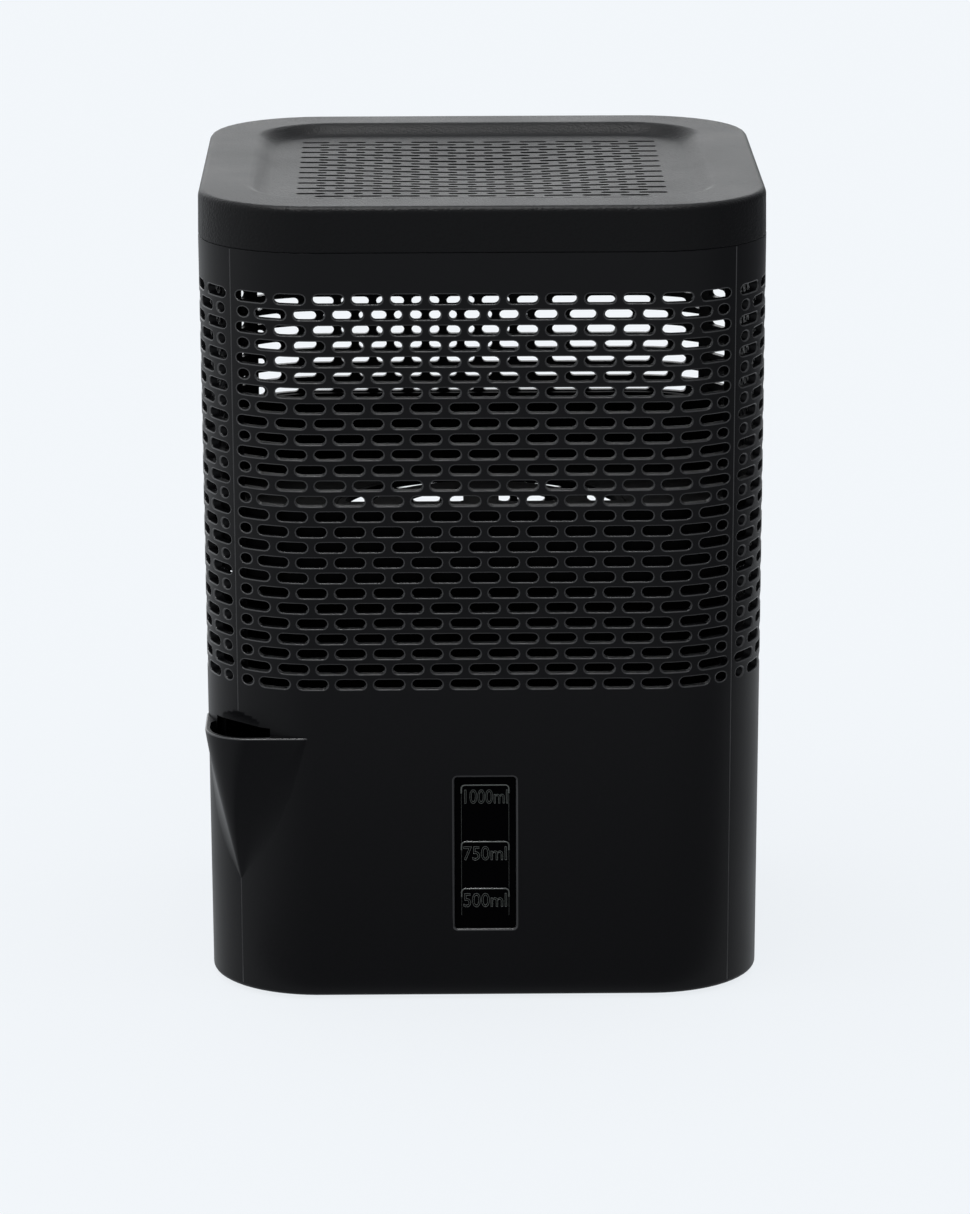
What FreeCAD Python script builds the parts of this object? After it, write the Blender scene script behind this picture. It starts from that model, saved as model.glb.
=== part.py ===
import FreeCAD, Part
import math
import os
import Sketcher

# A free-standing moisture absorber: a square tower with rounded corners, moulded in one piece with
# a water tank below and slotted walls above. A lift-out drip tray stands on four corner shelves,
# a lift-off slotted lid closes the top, a window in the front wall shows the water level, and the
# tank is emptied through a pouring lip at the front left corner.
# X is the width (+X to the right of someone facing the window), -Y is the front, +Z is up.
# The origin is on the floor, under the middle of the tower.

# alias: (value in mm or degrees or a count, what it is)
DIMENSIONS = {
    "overall_height": (208.0, "floor to the highest point of the lid"),
    "base_half": (71.25, "half the outer width at the bottom of the shell"),
    "rim_half": (72.5, "half the outer width at the top of the shell"),
    "corner_radius": (28.4, "outer radius of the four upright corners"),
    "wall": (2.0, "wall of the shell"),
    "foot_gap": (1.0, "height of the shell's underside above the floor"),
    "tank_floor": (2.4, "thickness of the tank's floor"),
    "shell_top": (196.3, "height of the shell's rim, where the lid sits"),
    "base_round": (1.3, "radius round the bottom edge"),
    "parting_bevel": (0.25, "bevel each side of the joint between shell and lid"),
    "slot_length": (7.75, "length of a side slot"),
    "slot_height": (2.5, "height of a side slot"),
    "column_pitch": (9.75, "distance between slots in a row"),
    "row_pitch": (4.0, "distance between neighbouring rows"),
    "first_row": (184.5, "height of the top row of side slots"),
    "long_rows": (13, "rows with a slot on the centre line"),
    "long_columns": (13, "slots in a long row"),
    "short_columns": (12, "slots in a short row"),
    "end_hole_reach": (60.55, "from the centre line to the middle of a short row's end hole"),
    "end_hole_length": (2.8, "length of a short row's end hole"),
    "shelf_top": (111.2, "height of the corner shelves that carry the tray"),
    "shelf_thickness": (1.4, "thickness of a corner shelf"),
    "shelf_reach": (58.0, "distance from both centre planes to the middle of a shelf's front edge"),
    "lip_height": (70.4, "height of the pouring lip"),
    "slit_height": (1.9, "height of the slit above the lip"),
    "window_width": (15.8, "width of the window opening"),
    "window_height": (40.6, "height of the window opening"),
    "window_middle": (39.4, "height of the window's middle"),
    "window_round": (0.8, "corner radius of the window opening"),
    "window_fit": (0.15, "gap between window and opening, each side"),
    "window_sink": (0.9, "how far the window's face lies behind the wall's face"),
    "window_flange": (3.0, "flange of the window behind the wall, each side"),
    "flange_thickness": (1.4, "thickness of the window's flange"),
    "seal_room": (0.8, "distance from the wall to the window's flange"),
    "seal_gap": (0.02, "gap between the seal and the wall, whose draft makes it a little thicker"),
    "seal_inset": (0.3, "how far the seal's edge lies inside the flange's edge"),
    "mark_height": (0.25, "how far the level marks stand proud of the window"),
    "tray_half": (69.2, "half the width of the drip tray"),
    "tray_radius": (26.4, "corner radius of the drip tray"),
    "tray_wall": (1.6, "wall of the drip tray"),
    "tray_floor_top": (114.7, "height of the tray's inner floor"),
    "tray_floor": (1.9, "thickness of the tray's floor"),
    "tray_rim": (131.0, "height of the tray's rim"),
    "grate_radius": (38.6, "outer radius of the drip grate"),
    "grate_fit": (0.2, "gap between grate and tray"),
    "drain_radius": (37.3, "radius of the hole in the tray's floor"),
    "grate_opening": (36.9, "outer radius of the outer ring of openings"),
    "grate_seat": (0.9, "depth of the seat for the grate in the tray's floor"),
    "ring_outer": (29.5, "outer radius of the grate's solid ring"),
    "ring_inner": (21.5, "inner radius of the grate's solid ring"),
    "spoke_half": (4.75, "half the width of a spoke"),
    "hub_radius": (7.5, "radius of the grate's hub"),
    "lid_round": (1.8, "radius of the lid's top edge"),
    "lid_wall": (2.0, "thickness of the lid"),
    "spigot_gap": (0.4, "gap between the lid's spigot and the shell"),
    "spigot_wall": (1.8, "thickness of the spigot"),
    "spigot_depth": (5.5, "length of the spigot below the rim"),
    "spigot_root": (2.2, "height of the step that joins the spigot to the lid"),
    "dish_half": (59.5, "half the width of the dish in the lid, at its rim"),
    "dish_floor_half": (54.5, "half the width of the dish at its floor"),
    "dish_radius": (22.0, "corner radius of the dish at its rim"),
    "dish_floor": (204.6, "height of the dish's floor"),
    "lid_slot_length": (7.5, "length of a lid slot"),
    "lid_slot_width": (2.2, "width of a lid slot"),
    "lid_long_columns": (10, "slots in a long row of the lid"),
    "lid_short_columns": (9, "slots in a short row of the lid"),
    "lid_long_rows": (12, "long rows of the lid"),
    "lid_short_rows": (11, "short rows of the lid"),
    "foot_radius": (6.0, "radius of the recess for a rubber foot"),
    "foot_fit": (0.1, "gap between a foot and its recess"),
    "foot_height": (2.0, "thickness of a rubber foot"),
    "foot_place": (50.0, "distance of a foot from both centre planes"),
}

doc = FreeCAD.newDocument("dehumidifier")
sheet = doc.addObject("Spreadsheet::Sheet", "dims")
for row, (alias, (value, note)) in enumerate(DIMENSIONS.items(), start=1):
    sheet.set("A%d" % row, note)
    sheet.set("B%d" % row, str(value))
    sheet.setAlias("B%d" % row, alias)
doc.recompute()


def size(alias):
    """The value of one cell of the sheet."""
    return float(getattr(sheet, alias))


def half_at(height):
    """Half the shell's outer width at a height, with the draft of its walls."""
    climb = size("shell_top") - size("foot_gap")
    return size("base_half") + (size("rim_half") - size("base_half")) * (height - size("foot_gap")) / climb


DRAFT = "atan((dims.rim_half - dims.base_half) / (dims.shell_top - dims.foot_gap))"
RIM_RADIUS = "dims.corner_radius + dims.rim_half - dims.base_half"
rim_radius = size("corner_radius") + size("rim_half") - size("base_half")


# ---------------------------------------------------------------- sketch and feature helpers

def new_body(name):
    body = doc.addObject("PartDesign::Body", name)
    body.Label = name
    return body


def plane_of(body, role):
    for feature in body.Origin.OriginFeatures:
        if feature.Role == role:
            return feature
    raise ValueError("no plane " + role)


def new_sketch(body, name, role="XY_Plane", offset=None):
    """A sketch on one of the body's origin planes, moved along its normal by an expression."""
    sketch = body.newObject("Sketcher::SketchObject", name)
    sketch.AttachmentSupport = [(plane_of(body, role), "")]
    sketch.MapMode = "FlatFace"
    if offset is not None:
        sketch.setExpression("AttachmentOffset.Base.z", offset)
    return sketch


def bind(sketch, constraint, expression):
    """Add a dimension to the sketch and bind it to the sheet."""
    index = sketch.addConstraint(constraint)
    sketch.setExpression("Constraints[%d]" % index, expression)


def rounded_box_wire(sketch, half_x, half_y, radius, expressions):
    """A rounded rectangle about the sketch's origin: four lines joined by four equal arcs."""
    in_x = half_x - radius
    in_y = half_y - radius
    up = FreeCAD.Vector(0, 0, 1)
    corners = [(in_x, -in_y, -90), (in_x, in_y, 0), (-in_x, in_y, 90), (-in_x, -in_y, 180)]
    ends = [((-in_x, -half_y), (in_x, -half_y)), ((half_x, -in_y), (half_x, in_y)),
            ((in_x, half_y), (-in_x, half_y)), ((-half_x, in_y), (-half_x, -in_y))]
    lines = []
    arcs = []
    for (start, stop), (centre_x, centre_y, angle) in zip(ends, corners):
        segment = Part.LineSegment(FreeCAD.Vector(*start, 0), FreeCAD.Vector(*stop, 0))
        lines.append(sketch.addGeometry(segment, False))
        circle = Part.Circle(FreeCAD.Vector(centre_x, centre_y, 0), up, radius)
        arc = Part.ArcOfCircle(circle, math.radians(angle), math.radians(angle + 90))
        arcs.append(sketch.addGeometry(arc, False))
    for index in range(4):
        sketch.addConstraint(Sketcher.Constraint("Tangent", lines[index], 2, arcs[index], 1))
        sketch.addConstraint(Sketcher.Constraint("Tangent", arcs[index], 2, lines[(index + 1) % 4], 1))
    for index in range(3):
        sketch.addConstraint(Sketcher.Constraint("Equal", arcs[index], arcs[index + 1]))
    sketch.addConstraint(Sketcher.Constraint("Horizontal", lines[0]))
    sketch.addConstraint(Sketcher.Constraint("Horizontal", lines[2]))
    sketch.addConstraint(Sketcher.Constraint("Vertical", lines[1]))
    sketch.addConstraint(Sketcher.Constraint("Vertical", lines[3]))
    bind(sketch, Sketcher.Constraint("Radius", arcs[0], radius), expressions[2])
    bind(sketch, Sketcher.Constraint("DistanceY", lines[0], 1, -1, 1, half_y), expressions[1])
    bind(sketch, Sketcher.Constraint("DistanceX", -1, 1, lines[1], 1, half_x), expressions[0])
    bind(sketch, Sketcher.Constraint("DistanceY", -1, 1, lines[2], 1, half_y), expressions[1])
    bind(sketch, Sketcher.Constraint("DistanceX", lines[3], 1, -1, 1, half_x), expressions[0])


def square_wire(sketch, half, radius, half_expression, radius_expression):
    rounded_box_wire(sketch, half, half, radius, (half_expression, half_expression, radius_expression))


def loft_cut(body, name, sketches):
    feature = body.newObject("PartDesign::SubtractiveLoft", name)
    feature.Profile = (sketches[0], [""])
    feature.Sections = [(sketch, [""]) for sketch in sketches[1:]]
    feature.Ruled = True
    return feature


def pad(body, name, sketch, length, reverse=False):
    feature = body.newObject("PartDesign::Pad", name)
    feature.Profile = sketch
    feature.Type = "Length"
    feature.SideType = "One side"
    feature.setExpression("Length", length)
    feature.Reversed = reverse
    return feature


def lean(body, name, base, walls, foot):
    """Let upright walls lean outwards above the face they stand on."""
    feature = body.newObject("PartDesign::Draft", name)
    feature.Base = (base, walls)
    feature.NeutralPlane = (base, foot)
    feature.setExpression("Angle", DRAFT)
    return feature


def pocket(body, name, sketch, length, reverse=False):
    feature = body.newObject("PartDesign::Pocket", name)
    feature.Profile = sketch
    feature.Type = "Length"
    feature.SideType = "One side"
    feature.setExpression("Length", length)
    feature.Reversed = reverse
    return feature


def edges_where(shape, test):
    """Names of the edges whose every end and middle pass a test."""
    names = []
    for index, edge in enumerate(shape.Edges, start=1):
        middle = edge.valueAt((edge.FirstParameter + edge.LastParameter) / 2)
        points = [vertex.Point for vertex in edge.Vertexes] + [middle]
        if all(test(point) for point in points):
            names.append("Edge%d" % index)
    return names


def faces_where(shape, test):
    """Names of the faces that pass a test on their bounding box."""
    return ["Face%d" % index for index, face in enumerate(shape.Faces, start=1) if test(face.BoundBox)]


def dress(body, kind, name, base, edges, amount):
    """A fillet or chamfer on named edges of the body's last feature."""
    feature = body.newObject("PartDesign::" + kind, name)
    feature.Base = (base, edges)
    feature.setExpression("Radius" if kind == "Fillet" else "Size", amount)
    return feature


def must_change(before, feature, name):
    """Stop when a cut or an added feature left the volume as it was."""
    doc.recompute()
    if abs(feature.Shape.Volume - before) < 1e-3:
        raise RuntimeError(name + " changed nothing")
    return feature.Shape.Volume


def slot_prism(centre_x, centre_y, length, width, start, depth):
    """A square-ended prism along +Z for a slot that runs along X.

    The true slots have round ends. There are over a thousand, so the solids keep them square.
    """
    corner = FreeCAD.Vector(centre_x - length / 2, centre_y - width / 2, start)
    return Part.makeBox(length, width, depth, corner)


def centred(count, pitch):
    """Places of a number of things about zero."""
    return [(index - (count - 1) / 2) * pitch for index in range(int(count))]


def cutter(name, prisms):
    """Prisms that cut openings, kept together as one tool."""
    feature = doc.addObject("Part::Feature", name)
    feature.Shape = Part.makeCompound(prisms)
    return feature


def cut(name, base, tool):
    feature = doc.addObject("Part::Cut", name)
    feature.Base = base
    feature.Tool = tool
    feature.Refine = False
    feature.Label = name
    return feature


# ---------------------------------------------------------------- shell with tank, walls and lip

def wall_slots(name, turn):
    """Slots through two facing walls: long rows, and short rows with a small hole at each end."""
    depth = 2.5 * size("rim_half")
    length = size("slot_length")
    height = size("slot_height")
    pitch = size("column_pitch")
    prisms = []
    for row in range(2 * int(size("long_rows"))):
        level = size("first_row") - row * size("row_pitch")
        columns = size("long_columns") if row % 2 == 0 else size("short_columns")
        for place in centred(columns, pitch):
            prisms.append(slot_prism(place, level, length, height, -depth / 2, depth))
        if row % 2 == 1:
            for side in (-1, 1):
                prisms.append(slot_prism(side * size("end_hole_reach"), level, size("end_hole_length"),
                                         height, -depth / 2, depth))
    tool = cutter(name, prisms)
    stand_up = FreeCAD.Rotation(FreeCAD.Vector(1, 0, 0), 90)
    swing = FreeCAD.Rotation(FreeCAD.Vector(0, 0, 1), turn)
    tool.Placement = FreeCAD.Placement(FreeCAD.Vector(0, 0, 0), swing * stand_up)
    return tool


# The pouring beak: height, where the front flank leaves the wall, where the two flanks would
# meet on the diagonal, and the radius there. The flanks mirror each other across the diagonal.
BEAK_OUTSIDE = (
    (70.4, (-46.0, -72.0), 72.0, 11.5),
    (52.0, (-54.6, -69.6), 67.6, 5.0),
    (30.0, (-62.3, -63.3), 63.0, 0.5),
)
# The hollow inside it, from the slit down to the tank.
BEAK_INSIDE = (
    (72.3, (-55.0, -70.7), 70.7, 10.2),
    (52.0, (-56.6, -68.0), 66.0, 4.0),
    (33.0, (-61.0, -61.8), 61.6, 0.5),
)
BEAK_ROOT = 52.0
THROAT_ROOT = 50.0
MOUTH_END = 55.0
SCOOP_RADIUS = 6.5
SCOOP_DEPTH = 1.2


def beak_section(height, start, corner, radius, root):
    """A section of the beak: two flanks that meet in a rounded corner on the diagonal.

    start is where the front flank leaves the wall, corner is where the flanks would meet, and
    root is a point on the diagonal inside the tank. The left flank mirrors the front one.
    """
    start = FreeCAD.Vector(start[0], start[1], height)
    mirrored = FreeCAD.Vector(start.y, start.x, height)
    corner = FreeCAD.Vector(-corner, -corner, height)
    root = FreeCAD.Vector(-root, -root, height)
    along = (start - corner).normalize()
    across = (mirrored - corner).normalize()
    half_angle = along.getAngle(across) / 2
    run = radius / math.tan(half_angle)
    first = corner + along * run
    last = corner + across * run
    centre = corner + (along + across).normalize() * (radius / math.sin(half_angle))
    middle = centre + (corner - centre).normalize() * radius
    edges = [
        Part.LineSegment(start, first).toShape(),
        Part.Arc(first, middle, last).toShape(),
        Part.LineSegment(last, mirrored).toShape(),
        Part.LineSegment(mirrored, root).toShape(),
        Part.LineSegment(root, start).toShape(),
    ]
    return Part.Wire(edges)


def beak_solid(name, rows, root):
    feature = doc.addObject("Part::Feature", name)
    feature.Shape = Part.makeLoft([beak_section(*row, root) for row in rows], True, False)
    return feature


def fuse(name, base, tool):
    feature = doc.addObject("Part::Fuse", name)
    feature.Base = base
    feature.Tool = tool
    feature.Refine = False
    return feature


def hollow_shell():
    """The shell with its beak: a V that grows out of the corner, hollow, with a thin lip."""
    whole = fuse("outside_with_beak", outside_block(), beak_solid("beak", BEAK_OUTSIDE, BEAK_ROOT))
    cavity, _ = leaning_block("cavity", "dims.wall", "dims.foot_gap + dims.tank_floor")
    open_tank = cut("open_tank", whole, cavity)
    hollow = cut("beak_hollow", open_tank, beak_solid("throat", BEAK_INSIDE, THROAT_ROOT))
    low = size("lip_height")
    wide = 80.0
    corners = [FreeCAD.Vector(x, y, low) for x, y in ((-MOUTH_END, -wide), (-wide, -wide),
                                                      (-wide, -MOUTH_END), (-BEAK_ROOT, -BEAK_ROOT))]
    outline = Part.makePolygon(corners + corners[:1])
    slit = Part.Face(Part.Wire(outline)).extrude(FreeCAD.Vector(0, 0, size("slit_height")))
    # a shallow bite over the slit, with its axis along the diagonal's normal
    reach = (half_at(low) - size("corner_radius")) + size("corner_radius") * math.sqrt(0.5)
    bite = Part.makeCylinder(SCOOP_RADIUS, 60, FreeCAD.Vector(-30, 0, 0), FreeCAD.Vector(1, 0, 0))
    bite.Placement = FreeCAD.Placement(
        FreeCAD.Vector(-reach, -reach, low + size("slit_height"))
        - FreeCAD.Vector(1, 1, 0) * ((SCOOP_RADIUS - SCOOP_DEPTH) * math.sqrt(0.5)),
        FreeCAD.Rotation(FreeCAD.Vector(0, 0, 1), -45))
    above = Part.makeBox(60, 60, SCOOP_RADIUS, FreeCAD.Vector(-95, -95, low + size("slit_height") / 2))
    return cut("mouth_cut", hollow, cutter("mouth", [slit, bite.common(above)]))


def corner_shelves():
    """A thin shelf across each inner corner, rooted in the middle of the wall."""
    body = new_body("corner_shelves")
    sketch = new_sketch(body, "shelf_sketch", "XY_Plane", "dims.shelf_top - dims.shelf_thickness")
    straight = size("base_half") - size("corner_radius")
    root = half_at(size("shelf_top")) - size("wall") / 2 - straight
    across = 2 * size("shelf_reach") - 2 * straight
    # where the line x + y = across meets the circle of the root radius, about the corner's centre
    spread = math.sqrt(2 * root ** 2 - across ** 2)
    near = (across - spread) / 2
    far = (across + spread) / 2
    middle = root * math.sqrt(0.5)
    for quarter in range(4):
        turn = FreeCAD.Rotation(FreeCAD.Vector(0, 0, 1), 90 * quarter)
        first, last, mid = [turn.multVec(FreeCAD.Vector(straight + x, straight + y, 0))
                            for x, y in ((far, near), (near, far), (middle, middle))]
        arc = sketch.addGeometry(Part.Arc(first, mid, last), False)
        line = sketch.addGeometry(Part.LineSegment(last, first), False)
        sketch.addConstraint(Sketcher.Constraint("Coincident", arc, 2, line, 1))
        sketch.addConstraint(Sketcher.Constraint("Coincident", line, 2, arc, 1))
        sketch.addConstraint(Sketcher.Constraint("Block", arc))
    pad(body, "shelves", sketch, "dims.shelf_thickness")
    return body


def leaning_block(label, inset, floor_height):
    """A rounded square block whose walls lean outwards as the shell's do."""
    body = new_body(label)
    inwards = " - " + inset if inset else ""
    thickness = size(inset.split(".")[1]) if inset else 0
    outline = new_sketch(body, label + "_outline", "XY_Plane", floor_height)
    square_wire(outline, size("base_half") - thickness, size("corner_radius") - thickness,
                "dims.base_half" + inwards, "dims.corner_radius" + inwards)
    block = pad(body, label + "_block", outline, "dims.shell_top - dims.foot_gap")
    doc.recompute()
    low = block.Shape.BoundBox.ZMin + 0.01
    walls = faces_where(block.Shape, lambda box: box.ZLength > 1)
    underside = faces_where(block.Shape, lambda box: box.ZMax < low)
    leaning = lean(body, label + "_walls", block, walls, underside)
    leaning.Reversed = True
    doc.recompute()
    return body, leaning


def outside_block():
    """The outside of the shell as a solid, with its edges, the window's opening and recesses."""
    body, leaning = leaning_block("outside", "", "dims.foot_gap")
    lowest = size("foot_gap") + 0.01
    bottom = dress(body, "Fillet", "bottom_edge", leaning,
                   edges_where(leaning.Shape, lambda point: point.z < lowest), "dims.base_round")
    doc.recompute()
    highest = size("shell_top") - 0.01
    dress(body, "Chamfer", "rim_edge", bottom,
          edges_where(bottom.Shape, lambda point: point.z > highest), "dims.parting_bevel")
    doc.recompute()
    foot_recesses(body)
    window_opening(body)
    return body


def foot_recesses(body):
    recess = new_sketch(body, "foot_recess_sketch", "XY_Plane", "dims.foot_gap")
    place = size("foot_place")
    for sign_x in (-1, 1):
        for sign_y in (-1, 1):
            centre = FreeCAD.Vector(sign_x * place, sign_y * place, 0)
            circle = Part.Circle(centre, FreeCAD.Vector(0, 0, 1), size("foot_radius"))
            index = recess.addGeometry(circle, False)
            ends_x = (index, 3, -1, 1) if sign_x < 0 else (-1, 1, index, 3)
            ends_y = (index, 3, -1, 1) if sign_y < 0 else (-1, 1, index, 3)
            bind(recess, Sketcher.Constraint("Radius", index, size("foot_radius")), "dims.foot_radius")
            bind(recess, Sketcher.Constraint("DistanceX", *ends_x, place), "dims.foot_place")
            bind(recess, Sketcher.Constraint("DistanceY", *ends_y, place), "dims.foot_place")
    volume = body.Shape.Volume
    depth = "dims.foot_height - dims.foot_gap"
    must_change(volume, pocket(body, "foot_recess", recess, depth, reverse=True), "foot_recess")


def window_opening(body):
    opening = new_sketch(body, "window_opening_sketch", "XZ_Plane", "dims.rim_half")
    opening.setExpression("AttachmentOffset.Base.y", "dims.window_middle")
    rounded_box_wire(opening, size("window_width") / 2, size("window_height") / 2, size("window_round"),
                     ("dims.window_width / 2", "dims.window_height / 2", "dims.window_round"))
    volume = body.Shape.Volume
    must_change(volume, pocket(body, "window_opening", opening, "dims.rim_half / 2"), "window_opening")


def tank_body():
    shell = fuse("shell_with_shelves", hollow_shell(), corner_shelves())
    front_cut = cut("front_grille", shell, wall_slots("front_slots", 0))
    return cut("tank_body", front_cut, wall_slots("side_slots", 90))


# ---------------------------------------------------------------- lid

def lid():
    body = new_body("moulded_lid")
    outline = new_sketch(body, "lid_outline", "XY_Plane", "dims.shell_top")
    square_wire(outline, size("rim_half"), rim_radius, "dims.rim_half", RIM_RADIUS)
    block = pad(body, "lid_block", outline, "dims.overall_height - dims.shell_top")
    doc.recompute()
    highest = size("overall_height") - 0.01
    top = dress(body, "Fillet", "lid_top_edge", block,
                edges_where(block.Shape, lambda point: point.z > highest), "dims.lid_round")
    doc.recompute()
    lowest = size("shell_top") + 0.01
    bottom = dress(body, "Chamfer", "lid_bottom_edge", top,
                   edges_where(top.Shape, lambda point: point.z < lowest), "dims.parting_bevel")
    doc.recompute()

    spigot_half = size("rim_half") - size("wall") - size("spigot_gap")
    spigot_radius = rim_radius - size("wall") - size("spigot_gap")
    spigot = new_sketch(body, "spigot_outline", "XY_Plane", "dims.shell_top")
    square_wire(spigot, spigot_half, spigot_radius, "dims.rim_half - dims.wall - dims.spigot_gap",
                RIM_RADIUS + " - dims.wall - dims.spigot_gap")
    volume = bottom.Shape.Volume
    volume = must_change(volume, pad(body, "spigot", spigot, "dims.spigot_depth", reverse=True), "spigot")

    throat = new_sketch(body, "throat_outline", "XY_Plane", "dims.shell_top - dims.spigot_depth")
    square_wire(throat, spigot_half - size("spigot_wall"), spigot_radius - size("spigot_wall"),
                "dims.rim_half - dims.wall - dims.spigot_gap - dims.spigot_wall",
                RIM_RADIUS + " - dims.wall - dims.spigot_gap - dims.spigot_wall")
    deep = pocket(body, "lid_throat", throat, "dims.spigot_depth + dims.spigot_root", reverse=True)
    volume = must_change(volume, deep, "lid_throat")

    under = new_sketch(body, "under_outline", "XY_Plane", "dims.shell_top + dims.spigot_root")
    square_wire(under, size("rim_half") - size("lid_wall"), rim_radius - size("lid_wall"),
                "dims.rim_half - dims.lid_wall", RIM_RADIUS + " - dims.lid_wall")
    room = pocket(body, "under_dish", under,
                  "dims.dish_floor - dims.lid_wall - dims.shell_top - dims.spigot_root", reverse=True)
    volume = must_change(volume, room, "under_dish")

    channel = new_sketch(body, "channel_outline", "XY_Plane", "dims.dish_floor - dims.lid_wall")
    square_wire(channel, size("rim_half") - size("lid_wall"), rim_radius - size("lid_wall"),
                "dims.rim_half - dims.lid_wall", RIM_RADIUS + " - dims.lid_wall")
    square_wire(channel, size("dish_half") + size("lid_wall"), size("dish_radius") + size("lid_wall"),
                "dims.dish_half + dims.lid_wall", "dims.dish_radius + dims.lid_wall")
    ring = pocket(body, "rim_channel", channel, "dims.overall_height - dims.dish_floor", reverse=True)
    volume = must_change(volume, ring, "rim_channel")

    dish_rim = new_sketch(body, "dish_rim", "XY_Plane", "dims.overall_height")
    square_wire(dish_rim, size("dish_half"), size("dish_radius"), "dims.dish_half", "dims.dish_radius")
    dish_floor = new_sketch(body, "dish_floor_outline", "XY_Plane", "dims.dish_floor")
    floor_radius = size("dish_radius") - size("dish_half") + size("dish_floor_half")
    square_wire(dish_floor, size("dish_floor_half"), floor_radius, "dims.dish_floor_half",
                "dims.dish_radius - dims.dish_half + dims.dish_floor_half")
    doc.recompute()
    must_change(volume, loft_cut(body, "dish", [dish_rim, dish_floor]), "dish")
    return cut("lid", body, lid_slots())


def lid_slots():
    """The same staggered pattern as the walls, through the floor of the dish."""
    prisms = []
    rows = int(size("lid_long_rows") + size("lid_short_rows"))
    for row, level in enumerate(centred(rows, size("row_pitch"))):
        columns = size("lid_long_columns") if row % 2 == 0 else size("lid_short_columns")
        for place in centred(columns, size("column_pitch")):
            prisms.append(slot_prism(place, level, size("lid_slot_length"), size("lid_slot_width"),
                                     size("shell_top"), size("overall_height") - size("shell_top")))
    return cutter("lid_slots", prisms)


# ---------------------------------------------------------------- drip tray and its grate

def circle_wire(sketch, radius, expression):
    circle = Part.Circle(FreeCAD.Vector(0, 0, 0), FreeCAD.Vector(0, 0, 1), radius)
    index = sketch.addGeometry(circle, False)
    sketch.addConstraint(Sketcher.Constraint("Coincident", index, 3, -1, 1))
    bind(sketch, Sketcher.Constraint("Radius", index, radius), expression)


def drip_tray():
    body = new_body("drip_tray")
    outline = new_sketch(body, "tray_outline", "XY_Plane", "dims.shelf_top")
    square_wire(outline, size("tray_half"), size("tray_radius"), "dims.tray_half", "dims.tray_radius")
    block = pad(body, "tray_block", outline, "dims.tray_rim - dims.shelf_top")
    doc.recompute()
    volume = block.Shape.Volume
    inner = (size("tray_half") - size("tray_wall"), size("tray_radius") - size("tray_wall"),
             "dims.tray_half - dims.tray_wall", "dims.tray_radius - dims.tray_wall")
    basin = new_sketch(body, "basin_outline", "XY_Plane", "dims.tray_floor_top")
    square_wire(basin, *inner)
    upper = pocket(body, "basin", basin, "dims.tray_rim - dims.tray_floor_top", reverse=True)
    volume = must_change(volume, upper, "basin")
    skirt = new_sketch(body, "skirt_outline", "XY_Plane", "dims.shelf_top")
    square_wire(skirt, *inner)
    lower = pocket(body, "skirt", skirt, "dims.tray_floor_top - dims.tray_floor - dims.shelf_top",
                   reverse=True)
    volume = must_change(volume, lower, "skirt")
    seat = new_sketch(body, "seat_circle", "XY_Plane", "dims.tray_floor_top")
    circle_wire(seat, size("grate_radius") + size("grate_fit"), "dims.grate_radius + dims.grate_fit")
    volume = must_change(volume, pocket(body, "grate_seat", seat, "dims.grate_seat"), "grate_seat")
    drain = new_sketch(body, "drain_circle", "XY_Plane", "dims.tray_floor_top")
    circle_wire(drain, size("drain_radius"), "dims.drain_radius")
    must_change(volume, pocket(body, "drain", drain, "dims.tray_floor * 2"), "drain")
    return body


def drip_grate():
    """A disc with two rings of openings, parted by a solid ring, a hub and four spokes."""
    top = size("tray_floor_top")
    depth = size("grate_seat")
    disc = Part.makeCylinder(size("grate_radius"), depth, FreeCAD.Vector(0, 0, top - depth))
    through = 3 * depth
    start = FreeCAD.Vector(0, 0, top - 2 * depth)
    openings = []
    for inner_radius, outer_radius in ((size("hub_radius"), size("ring_inner")),
                                       (size("ring_outer"), size("grate_opening"))):
        band = Part.makeCylinder(outer_radius, through, start)
        openings.append(band.cut(Part.makeCylinder(inner_radius, through, start)))
    width = 2 * size("spoke_half")
    span = 2 * size("grate_radius")
    along_x = Part.makeBox(span, width, through, start - FreeCAD.Vector(span / 2, width / 2, 0))
    along_y = Part.makeBox(width, span, through, start - FreeCAD.Vector(width / 2, span / 2, 0))
    grate = disc
    for band in openings:
        grate = grate.cut(band.cut([along_x, along_y]))
    feature = doc.addObject("Part::Feature", "drip_grate")
    feature.Shape = grate
    feature.Label = "drip_grate"
    return feature


# ---------------------------------------------------------------- window and its seal

def stand_in_wall(feature):
    """Set a piece, drawn flat and facing -Y, into the leaning front wall at the window's middle."""
    level = size("window_middle")
    face = half_at(level) - size("window_sink")
    climb = size("shell_top") - size("foot_gap")
    angle = math.degrees(math.atan((size("rim_half") - size("base_half")) / climb))
    tilt = FreeCAD.Rotation(FreeCAD.Vector(1, 0, 0), angle)
    feature.Placement = FreeCAD.Placement(FreeCAD.Vector(0, -face, level), tilt)


# Water levels marked on the window: 500, 750 and 1000 ml above the tank's floor.
MARK_LEVELS = (29.7, 42.3, 57.5)
MARK_THICKNESS = 0.6
MARK_HALF = 6.0


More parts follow.
